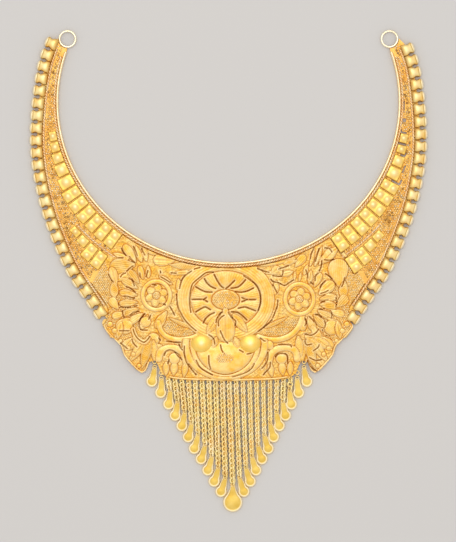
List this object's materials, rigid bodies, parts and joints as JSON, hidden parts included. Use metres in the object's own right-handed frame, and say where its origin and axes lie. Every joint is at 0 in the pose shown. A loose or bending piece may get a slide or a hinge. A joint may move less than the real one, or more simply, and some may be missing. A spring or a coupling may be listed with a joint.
{
  "type": "gold fringe necklace",
  "caption": "Open-backed gold collar necklace with a chased floral front, domed edge beads, an end ring on each arm and a pointed fringe of chains ending in pear drops.",
  "frame": {"origin": "middle of the outline, on the flat back that lies on the surface", "axes": "+X to the wearer's left as seen in the picture's right, +Y from the tip of the fringe to the end rings, +Z out of the face"},
  "size_m": [0.1454, 0.176, 0.0032],
  "materials": {
    "collar_gold": "satin yellow gold with darker recesses",
    "ring_gold": "polished pale gold wire",
    "chain_gold": "polished yellow gold links",
    "drop_gold": "polished yellow gold with a pale rim"
  },
  "bodies": {
    "root": {"collar": "collar_gold", "end_ring_left": "ring_gold", "end_ring_right": "ring_gold", "chain_centre": "chain_gold", "chain_left_1": "chain_gold", "chain_left_2": "chain_gold", "chain_left_3": "chain_gold", "chain_left_4": "chain_gold", "chain_left_5": "chain_gold", "chain_left_6": "chain_gold", "chain_left_7": "chain_gold", "chain_left_8": "chain_gold", "chain_left_9": "chain_gold", "chain_right_1": "chain_gold", "chain_right_2": "chain_gold", "chain_right_3": "chain_gold", "chain_right_4": "chain_gold", "chain_right_5": "chain_gold", "chain_right_6": "chain_gold", "chain_right_7": "chain_gold", "chain_right_8": "chain_gold", "chain_right_9": "chain_gold", "drop_centre": "drop_gold", "drop_left_1": "drop_gold", "drop_left_2": "drop_gold", "drop_left_3": "drop_gold", "drop_left_4": "drop_gold", "drop_left_5": "drop_gold", "drop_left_6": "drop_gold", "drop_left_7": "drop_gold", "drop_left_8": "drop_gold", "drop_left_9": "drop_gold", "drop_left_10": "drop_gold", "drop_left_11": "drop_gold", "drop_right_1": "drop_gold", "drop_right_2": "drop_gold", "drop_right_3": "drop_gold", "drop_right_4": "drop_gold", "drop_right_5": "drop_gold", "drop_right_6": "drop_gold", "drop_right_7": "drop_gold", "drop_right_8": "drop_gold", "drop_right_9": "drop_gold", "drop_right_10": "drop_gold", "drop_right_11": "drop_gold"}
  },
  "joints": []
}
